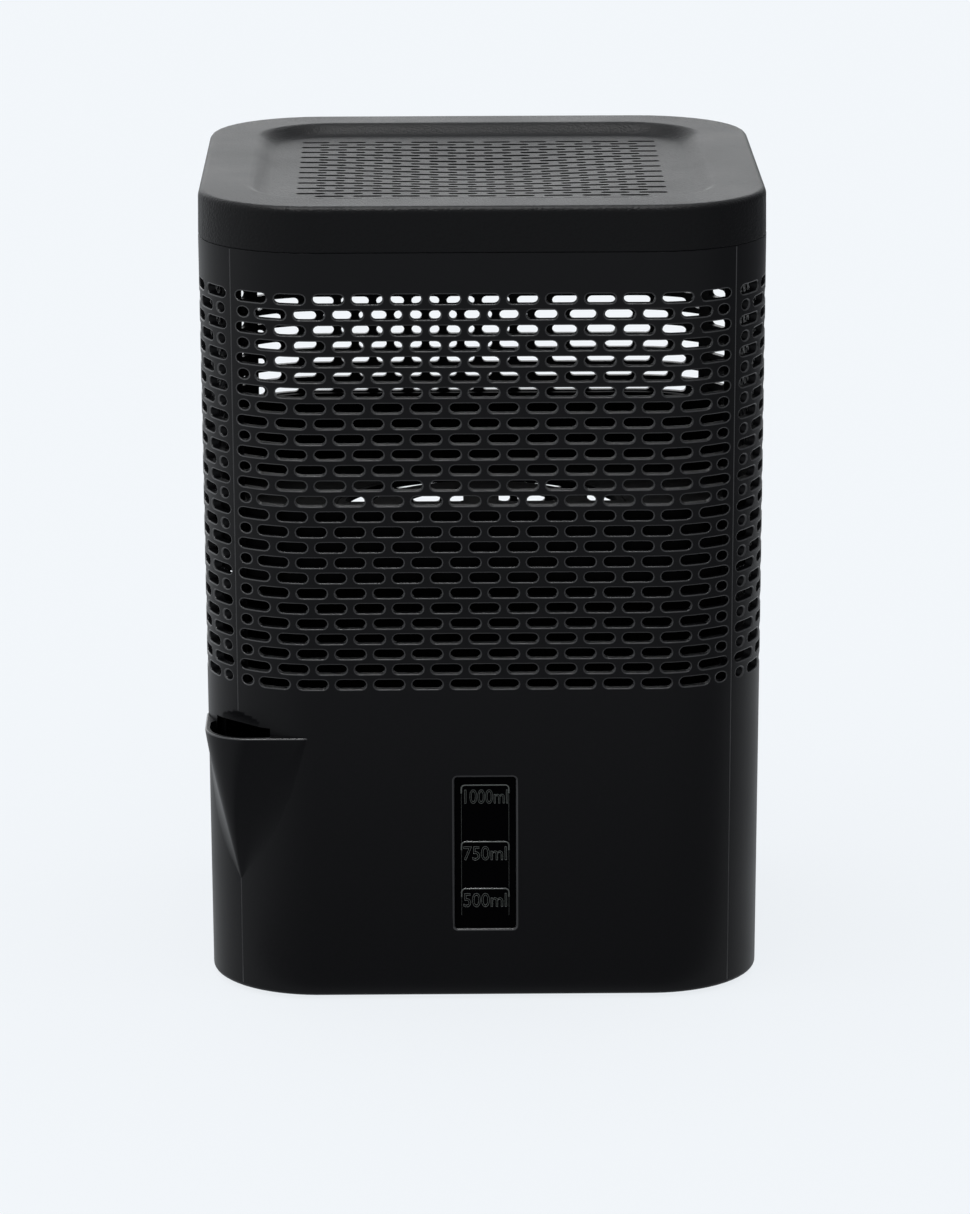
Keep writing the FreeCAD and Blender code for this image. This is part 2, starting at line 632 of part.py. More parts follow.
def level_window():
    """A clear plate that fills the opening, with a flange behind the wall and raised level marks."""
    body = new_body("level_window")
    fit = " - dims.window_fit"
    plate = new_sketch(body, "plate_outline", "XZ_Plane")
    rounded_box_wire(plate, size("window_width") / 2 - size("window_fit"),
                     size("window_height") / 2 - size("window_fit"), size("window_round"),
                     ("dims.window_width / 2" + fit, "dims.window_height / 2" + fit, "dims.window_round"))
    pad(body, "plate", plate, "dims.wall - dims.window_sink + dims.seal_room", reverse=True)
    flange = new_sketch(body, "flange_outline", "XZ_Plane",
                        "-(dims.wall - dims.window_sink + dims.seal_room)")
    rounded_box_wire(flange, size("window_width") / 2 + size("window_flange"),
                     size("window_height") / 2 + size("window_flange"), 2 * size("window_round"),
                     ("dims.window_width / 2 + dims.window_flange",
                      "dims.window_height / 2 + dims.window_flange", "2 * dims.window_round"))
    pad(body, "flange", flange, "dims.flange_thickness", reverse=True)
    marks = new_sketch(body, "mark_outlines", "XZ_Plane")
    for level in MARK_LEVELS:
        low = level - size("window_middle") - MARK_THICKNESS / 2
        high = low + MARK_THICKNESS
        corners = [FreeCAD.Vector(x, z, 0) for x, z in ((-MARK_HALF, low), (MARK_HALF, low),
                                                        (MARK_HALF, high), (-MARK_HALF, high))]
        for start, stop in zip(corners, corners[1:] + corners[:1]):
            marks.addGeometry(Part.LineSegment(start, stop), False)
    doc.recompute()
    volume = body.Shape.Volume
    must_change(volume, pad(body, "marks", marks, "dims.mark_height"), "marks")
    stand_in_wall(body)
    return body


def window_seal():
    """A flat rubber ring between the wall's inner face and the window's flange."""
    body = new_body("window_seal")
    ring = new_sketch(body, "seal_outline", "XZ_Plane", "-(dims.wall - dims.window_sink + dims.seal_gap)")
    edge = size("window_flange") - size("seal_inset")
    grown = " + dims.window_flange - dims.seal_inset"
    rounded_box_wire(ring, size("window_width") / 2 + edge, size("window_height") / 2 + edge,
                     2 * size("window_round"), ("dims.window_width / 2" + grown,
                                                "dims.window_height / 2" + grown, "2 * dims.window_round"))
    rounded_box_wire(ring, size("window_width") / 2, size("window_height") / 2, size("window_round"),
                     ("dims.window_width / 2", "dims.window_height / 2", "dims.window_round"))
    pad(body, "seal_ring", ring, "dims.seal_room - dims.seal_gap", reverse=True)
    stand_in_wall(body)
    return body


# ---------------------------------------------------------------- feet

def feet():
    """Four rubber discs, set in recesses under the tank."""
    discs = {}
    for depth_name, sign_y in (("front", -1), ("back", 1)):
        for side_name, sign_x in (("left", -1), ("right", 1)):
            label = "foot_%s_%s" % (depth_name, side_name)
            disc = doc.addObject("Part::Cylinder", label)
            disc.Label = label
            disc.setExpression("Radius", "dims.foot_radius - dims.foot_fit")
            disc.setExpression("Height", "dims.foot_height")
            place = size("foot_place")
            disc.Placement = FreeCAD.Placement(FreeCAD.Vector(sign_x * place, sign_y * place, 0),
                                               FreeCAD.Rotation())
            discs[label] = disc
    return discs


# ---------------------------------------------------------------- build, test and write

parts = {
    "tank_body": tank_body(),
    "lid": lid(),
    "drip_tray": drip_tray(),
    "drip_grate": drip_grate(),
    "level_window": level_window(),
    "window_seal": window_seal(),
}
parts.update(feet())

doc.recompute()
for item in doc.Objects:
    if "Invalid" in item.State or "Error" in item.State:
        raise RuntimeError("%s failed: %s" % (item.Name, item.State))
for label, part in parts.items():
    if part.Shape.isNull() or not part.Shape.isValid():
        raise RuntimeError(label + " has no valid shape")
    box = part.Shape.BoundBox
    print("%-18s %9.0f mm3 %5d faces  z %.2f to %.2f" % (label, part.Shape.Volume, len(part.Shape.Faces),
                                                        box.ZMin, box.ZMax))

os.makedirs("parts", exist_ok=True)
for label, part in parts.items():
    part.Shape.exportStep("parts/%s.step" % label)
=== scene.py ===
import math

import bpy
import numpy as np
from mathutils import Matrix, Vector


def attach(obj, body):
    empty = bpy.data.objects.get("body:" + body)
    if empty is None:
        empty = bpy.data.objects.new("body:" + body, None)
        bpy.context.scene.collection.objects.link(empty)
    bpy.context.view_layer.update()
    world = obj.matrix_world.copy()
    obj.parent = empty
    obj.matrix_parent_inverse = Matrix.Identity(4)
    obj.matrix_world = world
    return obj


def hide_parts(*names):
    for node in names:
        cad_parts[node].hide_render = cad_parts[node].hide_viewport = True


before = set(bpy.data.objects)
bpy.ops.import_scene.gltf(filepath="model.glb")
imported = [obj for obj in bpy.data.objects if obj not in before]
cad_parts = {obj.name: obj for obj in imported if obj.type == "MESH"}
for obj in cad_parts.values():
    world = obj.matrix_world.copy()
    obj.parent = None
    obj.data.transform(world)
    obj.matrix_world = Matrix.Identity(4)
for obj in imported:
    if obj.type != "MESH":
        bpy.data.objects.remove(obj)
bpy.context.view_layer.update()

# The object's sizes and the floor, card and mat are in millimetres until a mesh is made.
# Lights and camera are in metres.
MM = 0.001

# the shell
CORNER_RADIUS = 28.4
BASE_HALF = 71.25
RIM_HALF = 72.5
BASE_Z = 1.0
RIM_Z = 196.3
STRAIGHT = BASE_HALF - CORNER_RADIUS
WALL = 2.0
TANK_FLOOR = 2.4
ROW_PITCH = 4.0
COLUMN_PITCH = 9.75
FIRST_ROW = 184.5
ROWS = 26
SLOT = (7.75, 2.5)
END_HOLE = (2.8, 2.5)
END_HOLE_PLACE = 60.55
SLOT_EDGE = 0.32

# the window's opening in the front wall
WINDOW_HALF = (7.9, 20.3)
WINDOW_Z = 39.4
WINDOW_ROUND = 0.8
WINDOW_BEVEL = 0.55
WINDOW_SINK = 0.9
WINDOW_LINE = 4
WINDOW_CELL = (16.0, 62.8)

# the slit and the beak on the front left corner, and the levels where the plain wall takes over
LIP_Z = 70.4
SLIT_Z = 72.3
SLIT_REACH = 55.0
SLIT_LINE = 22
SLIT_CEILING = (1.2, 1.8)
SCOOP_RADIUS = 5.0
SCOOP_DEPTH = 0.9
SCOOP_TOP = 75.6
BEAK_FOOT = 50.0
BEAK_BOTTOM = 29.6
LIP_WALL = 1.3
LIP_ROUND = 0.4
THROAT_Z = 52.0
THROAT_SPREAD = 18
HOLLOW_AT_LIP = 0.7
HOLLOW_GROWTH = 2.8
HOLLOW_FALL = 14

# levels of the wall and the upright lines of its net
BOTTOM_Z = 2.3
FOOT_ROUND = 1.3
GRILLE_BOTTOM = 82.5
GRILLE_TOP = 186.5
TOP_Z = 196.05
SEAM = 0.13
SEAM_CREST = 0.06
GRID_STEP = COLUMN_PITCH / 4
GRID_LAST = 24
GRID_EDGE = GRID_LAST + 2
OVER_SEAM = 1.004

# the lid
LID_TOP = 208.0
LID_ROUND = 1.8
LID_SLOT = (7.4, 1.9)
LID_SLOT_EDGE = 0.15
LID_ROWS = 23
LID_LAST = 20
LID_FLOOR = 1.7
SPIGOT = (68.3, 70.1)
SPIGOT_FOOT = 190.8
SPIGOT_ROOM_TOP = 202.4
LID_WALL_HALF = 72.4
DISH_FLOOR = 204.3
DISH_RIM_FLOOR = 205.15
DISH_RISE_END = 50.0
DISH_HALF = 60.0
DISH_WALL = 5.7
DISH_RADIUS = 21.0


# ---------------------------------------------------------------- mesh helpers

class Sheet:
    """Collects points with their normals, and the faces between them.

    rims holds the first and last of each run of faces that takes the piece's second material, a painted
    highlight.
    """

    def __init__(self):
        self.points = []
        self.normals = []
        self.faces = []
        self.rims = []

    def add(self, point, normal):
        self.points.append(point)
        self.normals.append(normal)
        return len(self.points) - 1

    def ring(self, pairs):
        return [self.add(point, normal) for point, normal in pairs]

    def bridge(self, first, second, closed=True):
        count = len(first)
        for index in range(count if closed else count - 1):
            after = (index + 1) % count
            self.faces.append((first[index], first[after], second[after], second[index]))

    def stitch(self, outer, inner, outer_turns, inner_turns):
        """Triangles between two closed loops, each with the turn of every point about the middle."""
        a = b = 0
        while a < len(outer) or b < len(inner):
            next_a = outer_turns[a + 1] if a < len(outer) else 1e9
            next_b = inner_turns[b + 1] if b < len(inner) else 1e9
            here, there = outer[a % len(outer)], inner[b % len(inner)]
            if next_a < next_b:
                a += 1
                self.faces.append((here, outer[a % len(outer)], there))
            else:
                b += 1
                self.faces.append((here, inner[b % len(inner)], there))

    def build(self, name, turns=(0,)):
        """A mesh object of the sheet, repeated at each turn about +Z, in quarters."""
        points = np.array(self.points)
        normals = np.array(self.normals)
        normals /= np.linalg.norm(normals, axis=1)[:, None]
        all_points, all_normals, all_faces = [], [], []
        for quarter in turns:
            angle = math.pi / 2 * quarter
            spin = np.array([[math.cos(angle), -math.sin(angle), 0], [math.sin(angle), math.cos(angle), 0],
                             [0, 0, 1]])
            start = len(points) * len(all_points)
            all_points.append(points @ spin.T)
            all_normals.append(normals @ spin.T)
            all_faces += [tuple(index + start for index in face) for face in self.faces]
        points = np.vstack(all_points)
        normals = np.vstack(all_normals)
        padded = np.array([face if len(face) == 4 else face + face[-1:] for face in all_faces])
        first, second, third, fourth = (points[padded[:, corner]] for corner in range(4))
        across = np.cross(second - first, third - first) + np.cross(third - first, fourth - first)
        facing = np.einsum("ij,ij->i", across, normals[padded].sum(axis=1))
        faces = [face if side >= 0 else face[::-1] for face, side in zip(all_faces, facing)]
        thing = mesh_object(name, points, faces, normals)
        rim = np.zeros(len(self.faces), dtype=np.int32)
        for start, stop in self.rims:
            rim[start:stop] = 1
        thing.data.polygons.foreach_set("material_index", np.tile(rim, len(turns)))
        return thing


def mesh_object(name, points, faces, normals=None):
    mesh = bpy.data.meshes.new(name)
    mesh.from_pydata([tuple(point) for point in np.asarray(points) * MM], [], faces)
    mesh.shade_smooth()
    if normals is not None:
        mesh.normals_split_custom_set_from_vertices([tuple(normal) for normal in normals])
    thing = bpy.data.objects.new(name, mesh)
    bpy.context.scene.collection.objects.link(thing)
    return thing


def turns_about(loop, centre, scale):
    """The turn of each point of a closed loop, rising, with the first one repeated a turn later."""
    turns = []
    for point in list(loop) + [loop[0]]:
        turn = math.atan2((point[1] - centre[1]) / scale[1], (point[0] - centre[0]) / scale[0])
        while turns and turn < turns[-1] - 1e-9:
            turn += 2 * math.pi
        turns.append(turn)
    return turns


def slot_loop(centre, length, height, grow, steps=6, parts=4):
    """Points round a slot, grown by a distance, with the direction away from it at each."""
    radius = height / 2
    reach = length / 2 - radius
    loop = []
    for side, start in ((1, -math.pi / 2), (-1, math.pi / 2)):
        for step in range(steps + 1):
            turn = start + math.pi * step / steps
            away = (math.cos(turn), math.sin(turn))
            loop.append((centre[0] + side * reach + (radius + grow) * away[0],
                         centre[1] + (radius + grow) * away[1], away))
        for part in range(1, parts):
            loop.append((centre[0] + side * reach * (1 - 2 * part / parts),
                         centre[1] + side * (radius + grow), (0, side)))
    return loop


def box_loop(centre, half, rounding, grow, steps=4):
    """The same round a rectangle with rounded corners."""
    loop = []
    for number, (side_x, side_y) in enumerate(((1, -1), (1, 1), (-1, 1), (-1, -1))):
        for step in range(steps + 1):
            turn = math.pi / 2 * (number - 1 + step / steps)
            away = (math.cos(turn), math.sin(turn))
            loop.append((centre[0] + side_x * (half[0] - rounding) + (rounding + grow) * away[0],
                         centre[1] + side_y * (half[1] - rounding) + (rounding + grow) * away[1], away))
    return loop


def hole_cell(sheet, surface, border, centre, loop_at, edge, thickness):
    """A patch with a hole: its outer side, a rounded edge, the hole's wall and the inner side.

    surface holds two functions: place(u, v, depth) gives a point and the outward normal, and
    in_plane turns a direction on the patch into one in space. The border rises anticlockwise.
    """
    place, in_plane = surface
    loop = loop_at(0)
    spans = [max(abs(point[axis] - centre[axis]) for point in border) for axis in (0, 1)]
    border_turns = turns_about(border, centre, spans)
    hole_spans = [max(abs(point[axis] - centre[axis]) for point in loop) for axis in (0, 1)]
    first_turns = turns_about(loop, centre, hole_spans)[:-1]
    ahead = [(turn - border_turns[0]) % (2 * math.pi) for turn in first_turns]
    shift = ahead.index(min(ahead))
    hole_turns = [border_turns[0] + ahead[(shift + index) % len(ahead)] for index in range(len(ahead))]
    hole_turns.append(hole_turns[0] + 2 * math.pi)

    def loop_from(grow):
        points = loop_at(grow)
        return points[shift:] + points[:shift]

    rings = []
    for turn in (0, 30, 60, 90):
        sine, cosine = math.sin(math.radians(turn)), math.cos(math.radians(turn))
        pairs = []
        for u, v, away in loop_from(edge * (1 - sine)):
            point, normal = place(u, v, edge * (1 - cosine))
            pairs.append((point, cosine * normal - sine * in_plane(away)))
        rings.append(sheet.ring(pairs))
    loop = loop_from(0)
    rings.append(sheet.ring([(place(u, v, thickness)[0], -in_plane(away)) for u, v, away in loop]))
    # the rounded edge takes the second material, a lighter colour painted on as its highlight
    started = len(sheet.faces)
    for first, second in zip(rings, rings[1:-1]):
        sheet.bridge(first, second)
    sheet.rims.append((started, len(sheet.faces)))
    sheet.bridge(rings[-2], rings[-1])
    inner = sheet.ring([(place(u, v, thickness)[0], -place(u, v, 0)[1]) for u, v, away in loop])
    outer_border = sheet.ring([place(u, v, 0) for u, v in border])
    sheet.stitch(outer_border, rings[0], border_turns, hole_turns)
    inner_border = sheet.ring([(place(u, v, thickness)[0], -place(u, v, 0)[1]) for u, v in border])
    sheet.stitch(inner_border, inner, border_turns, hole_turns)


# ---------------------------------------------------------------- tank walls

def half_at(height):
    return BASE_HALF + (RIM_HALF - BASE_HALF) * (height - BASE_Z) / (RIM_Z - BASE_Z)


def seam_at(height):
    """Where the front wall ends, on the diagonal of the corner."""
    return STRAIGHT + (half_at(height) - STRAIGHT) * math.sqrt(0.5)


LEAN = (RIM_HALF - BASE_HALF) / (RIM_Z - BASE_Z)


def wall_place(x, z, depth):
    """A point of the front wall and its outward normal.

    Depth runs along +Y, as the slots do. From WALL on it is the wall's inner side.
    """
    radius = half_at(z) - STRAIGHT
    over = max(abs(x) - STRAIGHT, 0.0)
    side = 1.0 if x > 0 else -1.0
    rise = math.sqrt(radius ** 2 - over ** 2)
    normal = np.array((side * over / radius, -rise / radius, -LEAN))
    if depth < WALL:
        return np.array((x, -STRAIGHT - rise + depth, z)), normal
    inner = radius - WALL
    return np.array((x, -STRAIGHT - math.sqrt(inner ** 2 - over ** 2), z)), normal


def wall_direction(away):
    return np.array((away[0], 0.0, away[1]))


WALL_SURFACE = (wall_place, wall_direction)


def grid_x(index, height):
    """Upright lines of the wall's net: evenly spaced, then two more, the last just short of the seam."""
    side = 1 if index > 0 else -1
    if abs(index) <= GRID_LAST:
        return index * GRID_STEP
    last = GRID_LAST * GRID_STEP
    edge = seam_at(height) - SEAM
    return side * ((last + edge) / 2 if abs(index) == GRID_LAST + 1 else edge)


def cell_border(first, last, low, high):
    bottom = [(grid_x(index, low), low) for index in range(first, last + 1)]
    top = [(grid_x(index, high), high) for index in range(last, first - 1, -1)]
    return bottom + top


def grille(sheet):
    """The rows of slots, staggered by half a pitch from row to row."""
    for row in range(ROWS):
        middle = FIRST_ROW - row * ROW_PITCH
        low, high = middle - ROW_PITCH / 2, middle + ROW_PITCH / 2
        if row % 2 == 0:
            cells = [(4 * k - 2, 4 * k + 2, 4 * k * GRID_STEP, SLOT) for k in range(-6, 7)]
        else:
            cells = [(4 * k, 4 * k + 4, (4 * k + 2) * GRID_STEP, SLOT) for k in range(-6, 6)]
            cells += [(GRID_LAST, GRID_EDGE, END_HOLE_PLACE, END_HOLE),
                      (-GRID_EDGE, -GRID_LAST, -END_HOLE_PLACE, END_HOLE)]
        for first, last, place, size in cells:
            hole_cell(sheet, WALL_SURFACE, cell_border(first, last, low, high), (place, middle),
                      lambda grow: slot_loop((place, middle), size[0], size[1], grow), SLOT_EDGE, WALL)


def net_xs(first, last):
    """A function that gives the upright lines from one to another at a height."""
    return lambda z: [grid_x(index, z) for index in range(first, last + 1)]


WHOLE_NET = net_xs(-GRID_EDGE, GRID_EDGE)


def plain(sheet, xs_at, levels):
    """Plain wall between upright lines, outside and inside. The wall is straight up and down."""
    for low, high in zip(levels, levels[1:]):
        for depth, facing in ((0, 1), (WALL, -1)):
            rings = []
            for z in (low, high):
                pairs = [wall_place(x, z, depth) for x in xs_at(z)]
                rings.append(sheet.ring([(point, facing * normal) for point, normal in pairs]))
            sheet.bridge(rings[0], rings[1], closed=False)


def rolled(sheet, levels):
    """Edges at the foot and the rim: each level is a height, how far in, and the normal's tilt."""
    rings = []
    for z, inset, tilt in levels:
        reference = max(BOTTOM_Z, min(z, TOP_Z))
        pairs = []
        for index in range(-GRID_EDGE, GRID_EDGE + 1):
            # these edges run a little past the seam, as no ridge closes the corner there
            x = grid_x(index, reference) * (OVER_SEAM if abs(index) == GRID_EDGE else 1)
            point, normal = wall_place(x, reference, 0)
            flat = np.array((normal[0], normal[1], 0.0))
            angle = math.radians(tilt)
            pairs.append((np.array((point[0], point[1], z)) - flat * inset,
                          math.cos(angle) * flat + math.sin(angle) * np.array((0.0, 0.0, 1.0))))
        rings.append(sheet.ring(pairs))
    for first, second in zip(rings, rings[1:]):
        sheet.bridge(first, second, closed=False)


def seam_ridge(sheet, side, low, high):
    """One wall's half of the fine raised line that the mould seam leaves on a corner's diagonal."""
    foot, crest = [], []
    for z in (low, high):
        point, normal = wall_place(side * (seam_at(z) - SEAM), z, 0)
        seam, _ = wall_place(side * seam_at(z), z, 0)
        slope = np.array((-side * 0.5, -0.5, 0.0))
        foot.append((point, normal + slope))
        crest.append((seam + SEAM_CREST * np.array((side, -1.0, 0.0)), normal + slope))
    # the ridge takes the second material, a lighter colour painted on as the highlight along the seam
    started = len(sheet.faces)
    sheet.bridge(sheet.ring(foot), sheet.ring(crest), closed=False)
    sheet.rims.append((started, len(sheet.faces)))


def wall_frame(sheet, seams):
    """What all four walls share: the grille, the band over it, the edges, the seams and the floor."""
    grille(sheet)
    plain(sheet, WHOLE_NET, (GRILLE_TOP, TOP_Z))
    rolled(sheet, [(TOP_Z, 0, 0), (TOP_Z + 0.12, 0.06, 25), (RIM_Z, 0.25, 90), (RIM_Z, WALL, 90),
                   (TOP_Z, WALL, 180)])
    rolled(sheet, [(BOTTOM_Z - FOOT_ROUND * math.sin(math.radians(turn)),
                    FOOT_ROUND * (1 - math.cos(math.radians(turn))), -turn)
                   for turn in (0, 22.5, 45, 67.5, 90)])
    for side, low, high in seams:
        seam_ridge(sheet, side, low, high)
    for z, depth, facing in ((BASE_Z, 0, -1.0), (BASE_Z + TANK_FLOOR, WALL, 1.0)):
        inset = FOOT_ROUND if depth == 0 else WALL
        edge = []
        for index in range(-GRID_EDGE, GRID_EDGE + 1):
            point, normal = wall_place(grid_x(index, BOTTOM_Z), BOTTOM_Z, 0)
            edge.append(np.array((point[0], point[1], z)) - inset * normal * (1, 1, 0))
        middle = np.array((0.0, 0.0, z))
        centre = sheet.add(middle, np.array((0, 0, facing)))
        ring = sheet.ring([(point, np.array((0, 0, facing))) for point in edge])
        for index in range(len(ring) - 1):
            sheet.faces.append((centre, ring[index], ring[index + 1]))


def beak_corner(sheet, side):
    """The corner over and under the slit, on the side of the wall where the beak is."""
    def xs_at(z):
        lines = [grid_x(side * number, z) for number in range(SLIT_LINE + 1, GRID_EDGE + 1)]
        return sorted([side * SLIT_REACH] + lines)

    plain(sheet, xs_at, (BOTTOM_Z, BEAK_FOOT))
    plain(sheet, xs_at, (SCOOP_TOP, GRILLE_BOTTOM))
    levels = np.linspace(SLIT_Z, SCOOP_TOP, 7)
    rings = []
    for z in levels:
        pairs = []
        for x in [side * value for value in np.linspace(SLIT_REACH, seam_at(z), 14)]:
            point, normal = wall_place(x, z, 0)
            pairs.append(scooped(point, normal, side))
        rings.append(sheet.ring(pairs))
    for first, second in zip(rings, rings[1:]):
        sheet.bridge(first, second, closed=False)
    under = sheet.ring([(sheet.points[index], np.array((0, 0, -1.0))) for index in rings[0]])
    inwards = np.array((-side * SLIT_CEILING[0], SLIT_CEILING[1], 0))
    inside = sheet.ring([(sheet.points[index] + inwards, np.array((0, 0, -1.0))) for index in rings[0]])
    sheet.bridge(under, inside, closed=False)


def scooped(point, normal, side):
    """Press a point in where the bite over the slit reaches it."""
    diagonal = np.array((side, -1.0, 0.0)) * math.sqrt(0.5)
    corner = STRAIGHT * math.sqrt(2) + half_at(SLIT_Z) - STRAIGHT
    along = float(point @ diagonal)
    rise = point[2] - SLIT_Z
    swing = math.sqrt(max(SCOOP_RADIUS ** 2 - rise ** 2, 0))
    limit = corner - SCOOP_DEPTH + SCOOP_RADIUS - swing
    if along <= limit:
        return point, normal
    pressed = point - diagonal * (along - limit)
    return pressed, (diagonal * swing - np.array((0, 0, rise))) / SCOOP_RADIUS


def make_walls():
    """The right and back walls from one sheet; the front and left ones, beside the beak, from their own."""
    low_part = (BOTTOM_Z, GRILLE_BOTTOM)
    both = [(-1, BOTTOM_Z, TOP_Z), (1, BOTTOM_Z, TOP_Z)]

    plain_sheet = Sheet()
    wall_frame(plain_sheet, both)
    plain(plain_sheet, WHOLE_NET, low_part)
    sides = plain_sheet.build("walls_right_and_back", turns=(1, 2))

    broken = [(BOTTOM_Z, BEAK_FOOT), (SCOOP_TOP, TOP_Z)]
    front = Sheet()
    wall_frame(front, [(1, BOTTOM_Z, TOP_Z)] + [(-1, low, high) for low, high in broken])
    plain(front, net_xs(WINDOW_LINE, GRID_EDGE), low_part)
    plain(front, net_xs(-WINDOW_LINE, WINDOW_LINE), (BOTTOM_Z, WINDOW_CELL[0]))
    plain(front, net_xs(-WINDOW_LINE, WINDOW_LINE), (WINDOW_CELL[1], GRILLE_BOTTOM))
    hole_cell(front, WALL_SURFACE, cell_border(-WINDOW_LINE, WINDOW_LINE, *WINDOW_CELL), (0, WINDOW_Z),
              lambda grow: box_loop((0, WINDOW_Z), WINDOW_HALF, WINDOW_ROUND, grow), WINDOW_BEVEL, WALL)
    plain(front, lambda z: [-SLIT_REACH] + net_xs(-SLIT_LINE, -WINDOW_LINE)(z), low_part)
    beak_corner(front, -1)
    front_wall = front.build("wall_front")

    left = Sheet()
    wall_frame(left, [(-1, BOTTOM_Z, TOP_Z)] + [(1, low, high) for low, high in broken])
    plain(left, lambda z: net_xs(-GRID_EDGE, SLIT_LINE)(z) + [SLIT_REACH], low_part)
    beak_corner(left, 1)
    left_wall = left.build("wall_left", turns=(3,))
    return [sides, front_wall, left_wall]


# ---------------------------------------------------------------- pouring beak

def through_three(rows, z):
    """Values at a height on the parabola through three rows of height and values."""
    total = np.zeros(len(rows[0]) - 1)
    for row in rows:
        weight = 1.0
        for other in rows:
            if other is not row:
                weight *= (z - other[0]) / (row[0] - other[0])
        total += weight * np.array(row[1:])
    return total


# height, where the front flank leaves the wall (x, y), where the flanks meet, radius there
BEAK_ROWS = ((70.4, -46.0, -72.0, 72.0, 11.5), (52.0, -54.6, -69.6, 67.6, 5.0),
             (30.0, -62.3, -63.3, 63.0, 0.5))


def beak_section(z, inset=0.0, flank=6, arc=12, blend=8):
    """Points and outward directions round the beak at a height, from the front to the left.

    The flank leaves the wall along a soft hollow, which is tight at the lip and wider below.
    """
    start_x, start_y, corner, radius = through_three(BEAK_ROWS, z)
    start = np.array((start_x, start_y))
    tip = np.array((-corner, -corner))
    along = (start - tip) / np.linalg.norm(start - tip)
    outward = np.array((along[1], -along[0]))
    if outward @ np.array((0.0, -1.0)) < 0:
        outward = -outward
    half_angle = math.acos(float(along @ np.array((1.0, 1.0))) * math.sqrt(0.5))
    first = tip + along * radius / math.tan(half_angle)
    centre = tip + np.array((1.0, 1.0)) * math.sqrt(0.5) * radius / math.sin(half_angle)
    soft = HOLLOW_AT_LIP + HOLLOW_GROWTH * min(max((LIP_Z - z) / HOLLOW_FALL, 0.0), 1.0)
    soft = min(soft, 0.4 * np.linalg.norm(start - tip))
    on_wall = np.array((start_x + soft, wall_place(start_x + soft, z, 0)[0][1] + 0.02))
    inner = start - along * soft
    points = []
    for step in range(blend):
        turn = step / blend
        point = (1 - turn) ** 2 * on_wall + 2 * turn * (1 - turn) * start + turn ** 2 * inner
        run = (1 - turn) * (start - on_wall) + turn * (inner - start)
        away = np.array((-run[1], run[0])) / np.linalg.norm(run)
        points.append((point, away if away[1] < 0 else -away))
    points += [(inner + (first - inner) * step / flank, outward) for step in range(flank)]
    low = math.atan2(outward[1], outward[0])
    middle = -0.75 * math.pi
    for step in range(arc + 1):
        turn = low + (middle - low) * step / arc
        away = np.array((math.cos(turn), math.sin(turn)))
        points.append((centre + radius * away, away))
    mirrored = [(point[::-1], away[::-1]) for point, away in points[-2::-1]]
    return [(point - inset * away, away) for point, away in points + mirrored]


def make_beak():
    """The beak: a flat lip, its rounded edge, the V below it and the near part of its inside."""
    sheet = Sheet()
    rings = []
    up = np.array((0.0, 0.0, 1.0))

    def solid(point, z):
        return np.array((point[0], point[1], z))

    inner_edge = []
    for point, away in beak_section(LIP_Z):
        bare = point - LIP_WALL * away
        over = max(abs(point[0]), abs(point[1]))
        if min(abs(point[0]), abs(point[1])) < SLIT_REACH and over > 60:
            x = max(point[0], point[1])
            wall_y = wall_place(x, LIP_Z, 0)[0][1] + 0.2
            bare = np.array((x, wall_y)) if point[0] > point[1] else np.array((wall_y, x))
        inner_edge.append(bare)
    rings.append(sheet.ring([(solid(point, LIP_Z), up) for point in inner_edge]))
    for turn in (90, 60, 30, 0):
        angle = math.radians(turn)
        inset = LIP_ROUND * (1 - math.cos(angle))
        z = LIP_Z - LIP_ROUND * (1 - math.sin(angle))
        rings.append(sheet.ring([(solid(point, z), math.cos(angle) * solid(away, 0) + math.sin(angle) * up)
                                 for point, away in beak_section(z, inset)]))
    levels = np.linspace(LIP_Z - LIP_ROUND, BEAK_BOTTOM, 30)
    sections = [beak_section(z) for z in levels]
    for number, z in enumerate(levels):
        above, below = sections[max(number - 1, 0)], sections[min(number + 1, len(levels) - 1)]
        run = levels[max(number - 1, 0)] - levels[min(number + 1, len(levels) - 1)]
        pairs = []
        for (point, away), (upper, _), (lower, _) in zip(sections[number], above, below):
            lean = float((upper - lower) @ away) / run
            pairs.append((solid(point, z), solid(away, -lean)))
        rings.append(sheet.ring(pairs))
    for number, (first, second) in enumerate(zip(rings, rings[1:])):
        started = len(sheet.faces)
        sheet.bridge(first, second, closed=False)
        if number in (1, 2, 3):
            # the lip's rounded edge gets the painted highlight that the slots' rims have
            sheet.rims.append((started, len(sheet.faces)))
    count = len(inner_edge)
    keep = range(count // 2 - THROAT_SPREAD, count // 2 + THROAT_SPREAD + 1)
    top = sheet.ring([(solid(inner_edge[index], LIP_Z), -solid(beak_section(LIP_Z)[index][1], 0))
                      for index in keep])
    low = sheet.ring([(solid(beak_section(THROAT_Z, LIP_WALL)[index][0], THROAT_Z),
                       -solid(beak_section(LIP_Z)[index][1], 0)) for index in keep])
    sheet.bridge(top, low, closed=False)
    return sheet.build("pouring_beak")


# ---------------------------------------------------------------- lid

def square_loop(half, radius, steps=10, sides=10):
    """Points and outward directions round a square with round corners, anticlockwise."""
    loop = []
    for quarter in range(4):
        spin = math.pi / 2 * quarter
        turned = np.array([[math.cos(spin), -math.sin(spin)], [math.sin(spin), math.cos(spin)]])
        flat = half - radius
        for part in range(sides):
            loop.append((turned @ (half, -flat + 2 * flat * part / sides), turned @ (1.0, 0.0)))
        for step in range(steps):
            turn = math.pi / 2 * step / steps
            away = np.array((math.cos(turn), math.sin(turn)))
            loop.append((turned @ (np.array((flat, flat)) + radius * away), turned @ away))
    return loop


def floor_height(x, y):
    """The dish's floor rises gently from its middle outwards."""
    reach = min(math.hypot(x, y) / DISH_RISE_END, 1.0)
    return DISH_FLOOR + (DISH_RIM_FLOOR - DISH_FLOOR) * reach ** 2 * (3 - 2 * reach)


